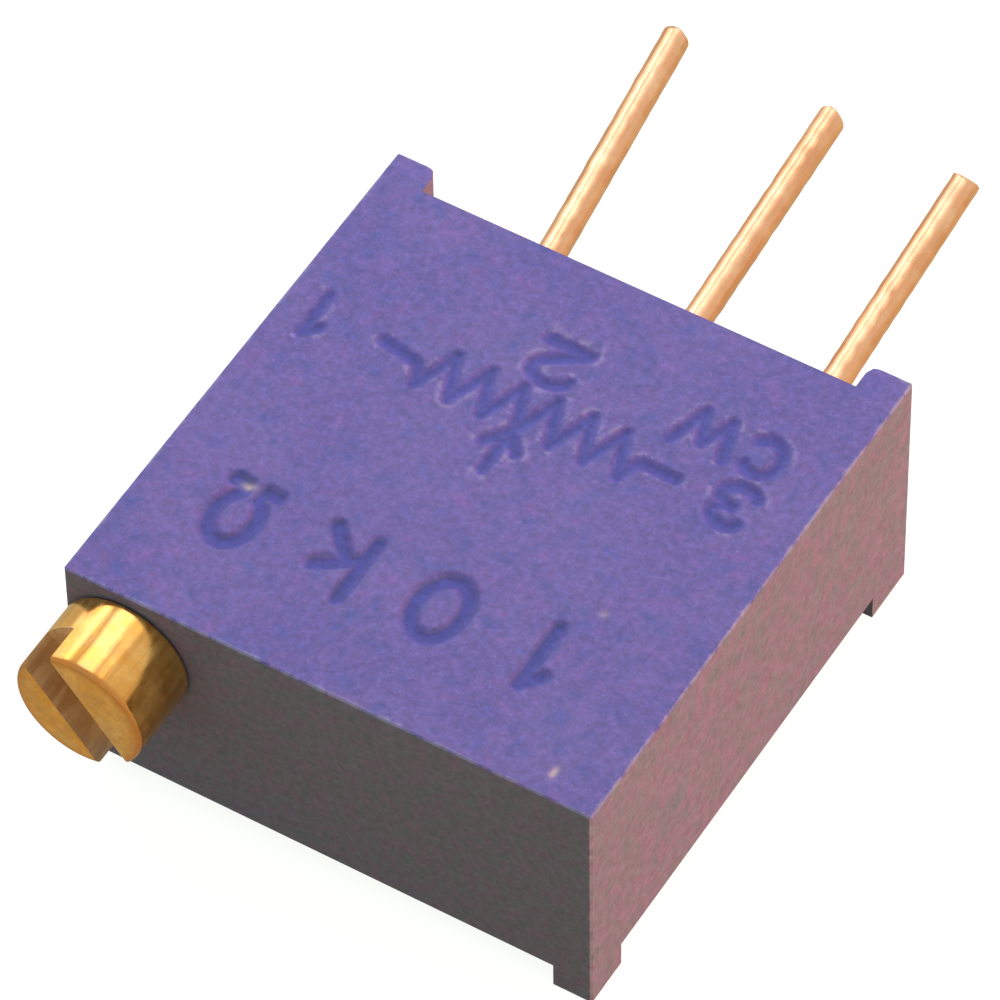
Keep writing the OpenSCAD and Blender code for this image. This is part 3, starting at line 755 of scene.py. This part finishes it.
def screwBlank(look):
    # a profile turned about the axis: (r cos t, y, -r sin t), with the worm's own grid between its two parts
    sides = look["sides"]
    turn = around(sides)
    parts = [(p[:, :1], p[:, 1:], [gridQuads(len(p), sides, closeCols=True)]) for p in screwProfile(look)]
    parts.insert(1, wormGrid(look, turn))
    points, faces, count = [], [], 0
    for y, radius, quads in parts:
        rings = [screwAxis[0] + radius * np.cos(turn), y + 0 * turn, screwAxis[2] - radius * np.sin(turn)]
        points.append(np.stack(rings, axis=-1).reshape(-1, 3))
        faces += [block + count for block in quads]
        count += len(points[-1])
    faces += [[np.arange(sides)], [np.arange(count - sides, count)]]
    return joined(newMesh("turned_screw", np.vstack(points), faces))


def cutAway(mesh, cutter):
    # what is left of one closed mesh where another has passed through it
    blank, saw = bpy.data.objects.new("blank", mesh), bpy.data.objects.new("saw", cutter)
    for item in (saw, blank):
        bpy.context.scene.collection.objects.link(item)
    cut = blank.modifiers.new("slot", "BOOLEAN")
    cut.operation, cut.solver, cut.object = "DIFFERENCE", "EXACT", saw
    left = bpy.data.meshes.new_from_object(blank.evaluated_get(bpy.context.evaluated_depsgraph_get()))
    for item in (saw, blank):
        bpy.data.objects.remove(item)
    return left


def markRim(mesh, look, end):
    # 1 on the rounded rim of the head's end, falling to 0 a little way off along the axis and towards it
    place = np.empty(3 * len(mesh.vertices))
    mesh.vertices.foreach_get("co", place)
    x, y, z = place.reshape(-1, 3).T / mm
    inward = look["head"] - np.hypot(x - screwAxis[0], z - screwAxis[2])
    off = np.abs(np.hypot(y - end, inward) - look["rim"] / 2)
    addAttribute(mesh, "rim", np.clip(1 - off / look["rimReach"], 0, 1))


def makeScrew(look):
    # the blank with a slot sawn across its head, and with the slot's edges broken
    end = nodeBox("adjusting_screw")[0][1]
    floor, half = end + look["slotDepth"], look["slotWidth"] / 2
    t = math.radians(look["slotTurn"])
    run, across = np.array([math.cos(t), 0, -math.sin(t)]), np.array([math.sin(t), 0, math.cos(t)])
    centre = screwAxis * [1, 0, 1] - look["slotShift"] * across
    points = [centre + s * look["sawReach"] * run + w * half * across + [0, y, 0]
              for y in (end - look["sawStart"], floor) for s in (-1, 1) for w in (-1, 1)]
    faces = [[0, 1, 3, 2], [4, 6, 7, 5], [0, 4, 5, 1], [2, 3, 7, 6], [0, 2, 6, 4], [1, 5, 7, 3]]
    mesh = cutAway(screwBlank(look), outward(newMesh("saw", points, [faces])))
    pastFloor = floor + 0.01
    # the slot's edges lie on the saw's two sides and no deeper than its floor
    bm = bmesh.new()
    bm.from_mesh(mesh)
    edges = [e for e in bm.edges if e.is_manifold and all(v.co.y < pastFloor for v in e.verts)
             and all(abs(abs((np.array(v.co) - centre) @ across) - half) < 0.002 for v in e.verts)
             and e.calc_face_angle(0) > math.radians(35)]
    breakEdges(bm, edges, look["slotSoft"])
    bm.to_mesh(mesh)
    bm.free()
    # the slot's own faces lie between the saw's two sides, from behind the head's end to the slot's floor
    middle = np.array([p.center for p in mesh.polygons])
    sawn = np.abs((middle - centre) @ across) < half + 0.004
    sawn &= (middle[:, 1] > end + 0.03) & (middle[:, 1] < pastFloor)
    brass = metal("turned_brass_metal", look)
    piece = addPiece("turned_screw", mesh, brass, "screw", "adjusting_screw", 32)
    piece.data.materials.append(metal("sawn_brass", look["sawn"]))
    piece.data.polygons.foreach_set("material_index", sawn.astype(np.int32))
    markRim(piece.data, look, end)
    return piece


def pinPath(look, i):
    # the wire's middle line: down the shank, round the elbow, straight out, round the bend and on to the tip
    x, z, shankY, wall = look["exits"][i], look["height"], look["shank"], look["wall"]
    elbow, bend, lean = look["elbow"], look["bend"], math.radians(look["lean"][i])
    top = nodeBox("terminal_pin_%d" % (i + 1))[1][2]
    neck = top - look["headThick"]
    shank = np.array([(x, shankY, top), (x, shankY, neck), (x, shankY, neck), (x, shankY, z + elbow + 0.01)])
    a = np.linspace(0, np.pi / 2, 12)
    down = np.stack([0 * a + x, shankY + elbow * (1 - np.cos(a)), z + elbow * (1 - np.sin(a))], axis=1)
    y = np.linspace(shankY + elbow + 0.03, wall - 0.01, 8)
    straight = np.stack([0 * y + x, y, 0 * y + z], axis=1)
    b = np.linspace(0, lean, 6)
    curve = np.stack([x - bend * (1 - np.cos(b)), wall + bend * np.sin(b), 0 * b + z], axis=1)
    free = (bodyHigh[1] + look["reach"][i] - curve[-1, 1]) / math.cos(lean)
    t = np.linspace(0.05, free, 110)[:, None]
    run = curve[-1] + t * np.array([-math.sin(lean), math.cos(lean), 0])
    return np.vstack([shank, down, straight, curve, run]), len(shank)


def makePin(look, i, material):
    # a circle carried along the wire's middle line; its side direction is +X made square to the line
    path, shankRows = pinPath(look, i)
    tangent = np.gradient(path, axis=0)
    tangent[:shankRows] = (0, 0, -1)
    tangent /= np.linalg.norm(tangent, axis=1)[:, None]
    side = np.array([1.0, 0, 0]) - tangent[:, :1] * tangent
    side /= np.linalg.norm(side, axis=1)[:, None]
    upward = np.cross(tangent, side)
    turn = around(look["sides"])
    length = np.concatenate([[0], np.cumsum(np.linalg.norm(np.diff(path, axis=0), axis=1))])[:, None]
    toTip = length[-1, 0] - length[:, 0]
    radius = np.full(len(path), look["radius"])
    radius[:2] = look["headRadius"]
    tipLength, tipDepth = look["tipRound"]
    radius = radius - tipDepth * np.clip(1 - toTip / tipLength, 0, 1) ** 2
    wave = ripple(turn / (2 * np.pi), length, 11 + i)
    free = np.clip((path[:, 1:2] - look["wall"]) / look["fadeLength"], 0, 1)
    radius = radius[:, None] * (1 + look["swell"] * wave * free)
    circle = np.cos(turn)[..., None] * side[:, None, :] + np.sin(turn)[..., None] * upward[:, None, :]
    rings = path[:, None, :] + radius[..., None] * circle
    # the tip is cut across on a slope, so the last rings slide along the pin by their height on that slope
    slope = math.tan(math.radians(look["shear"][i])) * look["radius"]
    facing = math.radians(look["cutTurn"][i])
    cut = slope * (np.cos(turn - facing) - 1) * np.clip(1 - toTip / look["fadeLength"], 0, 1)[:, None]
    rings += cut[..., None] * tangent[:, None, :]
    name, node = "pin_wire_%d" % (i + 1), "terminal_pin_%d" % (i + 1)
    return addPiece(name, tubeMesh(name, rings), material, "housing", node, 40)


makeScrew(screwLook)
pinMaterial = metal("plated_copper_wire", pinLook)
for i in range(3):
    makePin(pinLook, i, pinMaterial)
print("stage: screw and pins made")


# the back fill and the inner pieces

fillLook = dict(
    colour=rgb(0.035, 0.036, 0.06), light=rgb(0.11, 0.11, 0.16), dark=rgb(0.015, 0.015, 0.025),
    grains=9.0, clouds=0.5, amount=0.4, rough=(0.16, 0.34), bump=1.2,
    specks=2.2, speckSize=0.06, speckStrength=0.5,
    wet=0.1, reach=0.16,       # how high the resin is drawn up the walls, and over what distance that fades
    sag=0.035, waviness=0.006, cell=0.09,
    pinWallThick=0.59,         # the fill ends this far behind the pins' wall's outer face
    notch=0.325, notchDepth=1.035,   # half the width of a pin's notch, and its depth below the pin's middle
    # the tongue's end in a notch: how far it is behind the wall's outer face, and its size there
    tongue=[(0.03, 1.0), (0.05, 0.92), (0.045, 0.8), (0.02, 0.62)],
)
ceramicLook = dict(
    colour=rgb(0.80, 0.78, 0.71), light=rgb(0.93, 0.92, 0.88), dark=rgb(0.62, 0.58, 0.50),
    grains=14.0, clouds=0.6, amount=0.5, rough=(0.5, 0.72), bump=1.4, specks=1.2, speckSize=0.05,
)
cermetLook = dict(
    colour=rgb(0.045, 0.05, 0.045), light=rgb(0.15, 0.15, 0.13), dark=rgb(0.015, 0.02, 0.015),
    grains=22.0, clouds=1.2, amount=0.7, rough=(0.32, 0.5), bump=0.9, specks=5.0, speckSize=0.04,
)
rubberLook = dict(
    section=28, sides=96, press=(1.06, 0.97),   # the section's width before and after it is pressed flat
    colour=rgb(0.022, 0.022, 0.024), light=rgb(0.07, 0.07, 0.075), dark=rgb(0.01, 0.01, 0.01),
    grains=12.0, clouds=0.8, amount=0.5, rough=(0.5, 0.7), bump=1.0,
)
rotorLook = dict(
    colour=rgb(0.78, 0.76, 0.70), light=rgb(0.90, 0.89, 0.85), dark=rgb(0.60, 0.56, 0.48),
    grains=10.0, clouds=0.5, amount=0.45, rough=(0.36, 0.55), bump=1.4,
)
silverLook = dict(
    colour=rgb(0.66, 0.65, 0.62), second=rgb(0.80, 0.79, 0.76), dark=rgb(0.42, 0.40, 0.37),
    squeeze=(1.0, 1.0, 1.0), lines=14.0, rough=(0.36, 0.55), bump=1.0,
)
solderLook = dict(
    bore=0.425, brim=0.004,    # the hole for the pin's head, and the flat round it
    edge=0.012, lumps=0.035, sides=72,
    colour=rgb(0.66, 0.67, 0.69), second=rgb(0.80, 0.81, 0.83), dark=rgb(0.45, 0.45, 0.47),
    squeeze=(1.0, 1.0, 1.0), lines=4.0, rough=(0.16, 0.34), bump=1.2,
)
clipLook = dict(
    colour=rgb(0.50, 0.51, 0.53), second=rgb(0.62, 0.63, 0.66), dark=rgb(0.30, 0.31, 0.33),
    squeeze=(1.0, 1.0, 0.08), lines=12.0, rough=(0.24, 0.4), bump=0.9,
)
wiperLook = dict(
    colour=rgb(0.80, 0.70, 0.50), second=rgb(0.90, 0.83, 0.66), dark=rgb(0.55, 0.44, 0.26),
    squeeze=(0.1, 1.0, 1.0), lines=14.0, rough=(0.2, 0.36), bump=0.8,
)


def crowded(start, stop, cell):
    # rising places from start to stop, a little closer together towards both ends
    t = np.linspace(0, 1, int((stop - start) / cell))
    return start + (stop - start) * (0.35 * smoothStep(t) + 0.65 * t)


def fillBlock(look, x0, x1, y0, y1):
    # the open face is a height over a grid: level, a little sunk in the middle, and drawn up the walls where
    # they are near; its border is carried straight to the plate and closed there
    y, x = np.meshgrid(crowded(y0, y1, look["cell"]), crowded(x0, x1, look["cell"]), indexing="ij")
    fromPinWall = y1 - y
    for exitX in pinLook["exits"]:
        fromPinWall = np.hypot(fromPinWall, 2 * np.clip(look["notch"] - np.abs(x - exitX), 0, None))
    away = np.minimum.reduce([x - x0, x1 - x, y - y0, fromPinWall])
    acrossX, alongY = 2 * x / (x1 - x0), (2 * y - y0 - y1) / (y1 - y0)
    middle = np.clip(1 - acrossX ** 2, 0, 1) * np.clip(1 - alongY ** 2, 0, 1)
    z = fillLow[2] - look["wet"] * np.exp(-away / look["reach"]) + look["sag"] * middle
    z += look["waviness"] * ripple(x / 6 + 1, y / 3, 5)
    points = np.stack([x, y, z], axis=-1).reshape(-1, 3)
    number = np.arange(x.size).reshape(x.shape)
    border = np.concatenate([number[0, :], number[1:, -1], number[-1, -2::-1], number[-2:0:-1, 0]])
    upper = points[border] * [1, 1, 0] + [0, 0, fillHigh[2]]
    wallTop = np.arange(len(border)) + len(points)
    walls = np.stack([border, np.roll(border, -1), np.roll(wallTop, -1), wallTop], axis=1)
    return np.vstack([points, upper]), [gridQuads(*x.shape), walls, [wallTop]]


def makeFill(look, material):
    # the block behind the plate, and in each pin's notch a tongue: the notch's outline, half a circle over
    # straight sides, carried along +Y and then drawn in to the pin with a hollow
    wall, half, depth = pinLook["wall"], look["notch"], look["notchDepth"]
    inner = wall - look["pinWallThick"]
    points, faces = fillBlock(look, fillLow[0], fillHigh[0], fillLow[1], inner)
    everything, count = [points], len(points)
    a = np.linspace(0, np.pi, 15)
    outline = np.vstack([np.stack([np.cos(a), np.sin(a)], axis=1) * half, [(-half, -0.4), (-half, -0.8)],
                         [(half * t, -depth) for t in (-1, -0.5, 0, 0.5, 1)], [(half, -0.8), (half, -0.4)]])
    steps = [(inner - 0.1, 1.0), (inner + 0.3, 1.0)]
    steps += [(wall - behind, size) for behind, size in look["tongue"]]
    y, size = np.array(steps).T[..., None]
    rows, sides = len(steps), len(outline)
    for exitX in pinLook["exits"]:
        x, z = exitX + outline[:, 0] * size, pinLook["height"] + outline[:, 1] * size
        everything.append(np.stack([x, y + 0 * x, z], axis=-1).reshape(-1, 3))
        ends = [np.arange(sides) + count, np.arange(sides) + count + (rows - 1) * sides]
        faces += [gridQuads(rows, sides, closeCols=True) + count, ends]
        count += rows * sides
    mesh = outward(newMesh("cast_backfill", np.vstack(everything), faces))
    return addPiece("cast_backfill", mesh, material, "housing", "epoxy_backfill", 40)


def makeRing(look):
    # a round-section ring, flattened where it presses on the groove's floor and on the bore
    low, high = nodeBox("screw_o_ring")
    wire, mid = (high[1] - low[1]) / 2, (high[1] + low[1]) / 2
    middle = (high[0] - low[0]) / 2 - wire
    a, turn = around(look["section"]).T, around(look["sides"])
    wide, most = look["press"]
    out = middle + wire * np.clip(wide * np.cos(a), -most, most)
    x, z = screwAxis[0] + out * np.cos(turn), screwAxis[2] - out * np.sin(turn)
    mesh = hoopMesh("rubber_ring", np.stack([x, mid + wire * np.sin(a) + 0 * turn, z], axis=-1))
    rubber = grained("seal_rubber_solid", look)[0]
    return addPiece("rubber_ring", mesh, rubber, "screw", "screw_o_ring", 60)


def makeSolder(look, i, material):
    # a hollow fillet turned about the pin: the height falls from the head's edge in a quarter of a circle
    node = "solder_joint_%d" % (i + 1)
    low, high = nodeBox(node)
    centre, foot, rise = (low + high) / 2, (high[0] - low[0]) / 2, high[2] - low[2]
    bore, brim, edge = look["bore"], look["brim"], look["edge"]
    t = np.linspace(0, np.pi / 2, 12)
    r = np.concatenate([[bore], bore + brim + (foot - bore - brim) * (1 - np.cos(t)), [foot, bore]])[:, None]
    z = np.concatenate([[low[2] + rise], low[2] + edge + (rise - edge) * (1 - np.sin(t)), [low[2], low[2]]])
    turn = around(look["sides"])
    away = np.clip((r - bore) / (foot - bore), 0, 1)
    lump = 1 + look["lumps"] * ripple(turn / (2 * np.pi), 0 * r, 40 + i) * away
    r = r * np.minimum(lump, foot / r)
    x, y = centre[0] + r * np.cos(turn), centre[1] + r * np.sin(turn)
    name = "solder_fillet_%d" % (i + 1)
    mesh = hoopMesh(name, np.stack([x, y, z[:, None] + 0 * turn], axis=-1))
    return addPiece(name, mesh, material, "housing", node, 40)


def softCopy(node, name, material, body, width, degrees=25):
    # a CAD piece with its sharp edges broken by a small rounding
    bm = mergedCopy(node)
    edges = [e for e in bm.edges if e.is_manifold and abs(e.calc_face_angle(0)) > math.radians(degrees)]
    breakEdges(bm, edges, width)
    return addPiece(name, meshFrom(bm, name), material, body, node)


def dress(node, material):
    # a CAD piece kept as it is, with a finished material in its slot
    mesh = frame["nodes"][node].data
    mesh.materials.clear()
    mesh.materials.append(material)


makeFill(fillLook, grained("back_epoxy_resin", fillLook)[0])
ceramic, cermet = grained("fired_alumina", ceramicLook)[0], grained("cermet_film", cermetLook)[0]
silver = metal("silver_film_print", silverLook)
softCopy("ceramic_substrate", "alumina_plate", ceramic, "housing", 0.02)
dress("resistive_track", cermet)
for node in ("collector_track", "end_conductor_1", "end_conductor_3"):
    dress(node, silver)
spring = metal("clip_spring_steel", clipLook)
softCopy("screw_retaining_clip", "sprung_clip", spring, "housing", 0.018)
resin = grained("rotor_resin", rotorLook)[0]
softCopy("worm_wheel", "worm_wheel_moulding", resin, "rotor", 0.012, 40)
softCopy("wiper_spring", "wiper_comb", metal("wiper_alloy", wiperLook), "rotor", 0.006, 60)
makeRing(rubberLook)
solderMaterial = metal("solder_alloy", solderLook)
for i in range(3):
    makeSolder(solderLook, i, solderMaterial)
print("stage: inner pieces made")


# floor, light and camera

studioLook = dict(
    floorSize=600.0, floorLevel=-0.004,
    sheetGlow=rgb(0.88, 0.88, 0.88),       # the floor's glow where it is seen, which makes it white,
    sheetPaint=rgb(0.4, 0.4, 0.4),         # and its paint there, which takes the faint shadow
    mirrorTone=rgb(0.37, 0.28, 0.24),      # the floor as metal and gloss see it
    bouncePaint=rgb(0.30, 0.28, 0.14),     # what the floor throws back on the sides of the part
    skyWhite=rgb(1.0, 1.0, 1.0),           # the surroundings as they are seen
    skyTone=rgb(0.80, 0.74, 0.62),         # the surroundings as metal and gloss see them
    skyLight=rgb(0.479, 0.634, 0.374),     # the light that they give
    # each lamp: where it stands, how large it is, its power and its colour, and whether metal mirrors it
    lamps=[
        ("backLamp", (-64, 68, 88), 170, 0.0791, (0.322, 0.356, 1.0), False),
        ("rightLamp", (118, 22, 24), 44, 0.1879, (1.0, 0.548, 0.291), False),
        ("leftGleam", (-85, 64, 56), 76, 0.017, (1.0, 0.95, 0.90), True),
        ("whiteGleam", (-73, 64, 73), 22, 0.009, (0.85, 0.92, 1.0), True),
        ("topGleam", (-19, 64, 102), 60, 0.020, (0.9, 0.95, 1.0), True),
        ("farGleam", (28, 64, 98), 26, 0.003, (1.0, 0.94, 0.80), True),
    ],
    aim=(0, 0, 2.4),
)


def seenTone(tree, lit, mirrored, seen):
    # one colour for rays straight from the camera, one by way of metal, gloss or glass, and one for the rest
    path = addNode(tree, "ShaderNodeLightPath")
    shiny = mathNode(tree, "ADD", path["Is Glossy Ray"], path["Is Transmission Ray"], clamp=True)
    return mixColour(tree, path["Is Camera Ray"], mixColour(tree, shiny, lit, mirrored), seen)


def makeFloor(look):
    # one large square just below the pads, which glows white where the camera sees it
    half, level = look["floorSize"] / 2, look["floorLevel"]
    corners = [(-half, -half, level), (half, -half, level), (half, half, level), (-half, half, level)]
    mesh = newMesh("floor", corners, [[[0, 1, 2, 3]]])
    mesh.transform(Matrix.Scale(mm, 4))
    floor = bpy.data.objects.new("floor", mesh)
    bpy.context.scene.collection.objects.link(floor)
    material = bpy.data.materials.new("pale_floor")
    material.use_nodes = True
    tree = material.node_tree
    tree.nodes.clear()
    paintTone = seenTone(tree, look["bouncePaint"], look["bouncePaint"], look["sheetPaint"])
    paint = addNode(tree, "ShaderNodeBsdfDiffuse", {"Color": paintTone})[0]
    glowTone = seenTone(tree, rgb(0, 0, 0), look["mirrorTone"], look["sheetGlow"])
    glow = addNode(tree, "ShaderNodeEmission", {"Color": glowTone, "Strength": 1.0})[0]
    both = addNode(tree, "ShaderNodeAddShader", {0: paint, 1: glow})[0]
    addNode(tree, "ShaderNodeOutputMaterial", {"Surface": both})
    mesh.materials.append(material)


def makeSky(look):
    # even surroundings all the way round
    world = bpy.data.worlds.new("studio")
    bpy.context.scene.world = world
    world.use_nodes = True
    tree = world.node_tree
    sky = seenTone(tree, look["skyLight"], look["skyTone"], look["skyWhite"])
    tree.links.new(sky, tree.nodes["Background"].inputs["Color"])


def makeLamps(look):
    # round lamps, each turned to look at the same point
    for name, place, size, power, colour, mirrored in look["lamps"]:
        light = bpy.data.lights.new(name, "AREA")
        light.shape, light.size = "DISK", size * mm
        light.energy, light.color = power, colour
        item = bpy.data.objects.new(name, light)
        item.location = Vector(place) * mm
        item.visible_glossy = mirrored
        item.rotation_euler = (Vector(look["aim"]) * mm - item.location).to_track_quat("-Z", "Y").to_euler()
        bpy.context.scene.collection.objects.link(item)


cameraLook = dict(
    aim=(-0.658, 1.292, 2.4),   # the point in the middle of the view
    azimuth=31.86, elevation=51.105, roll=-0.98, distance=133.934,
    lens=299.445,
)


def makeCamera(look):
    # it stands off the aim by the distance, turned by azimuth about Z and raised by elevation
    az, el = math.radians(look["azimuth"]), math.radians(look["elevation"])
    forward = Vector((-math.sin(az) * math.cos(el), math.cos(az) * math.cos(el), -math.sin(el)))
    camera = bpy.data.cameras.new("camera")
    camera.lens, camera.sensor_width, camera.clip_start = look["lens"], 36.0, 0.001
    item = bpy.data.objects.new("camera", camera)
    item.location = (Vector(look["aim"]) - forward * look["distance"]) * mm
    roll = Matrix.Rotation(math.radians(look["roll"]), 3, "Z")
    item.rotation_euler = (forward.to_track_quat("-Z", "Y").to_matrix() @ roll).to_euler()
    bpy.context.scene.collection.objects.link(item)
    bpy.context.scene.camera = item


makeFloor(studioLook)
makeSky(studioLook)
makeLamps(studioLook)
makeCamera(cameraLook)
bpy.context.scene.view_settings.view_transform = "Standard"
print("stage: studio ready")

bpy.context.view_layer.update()
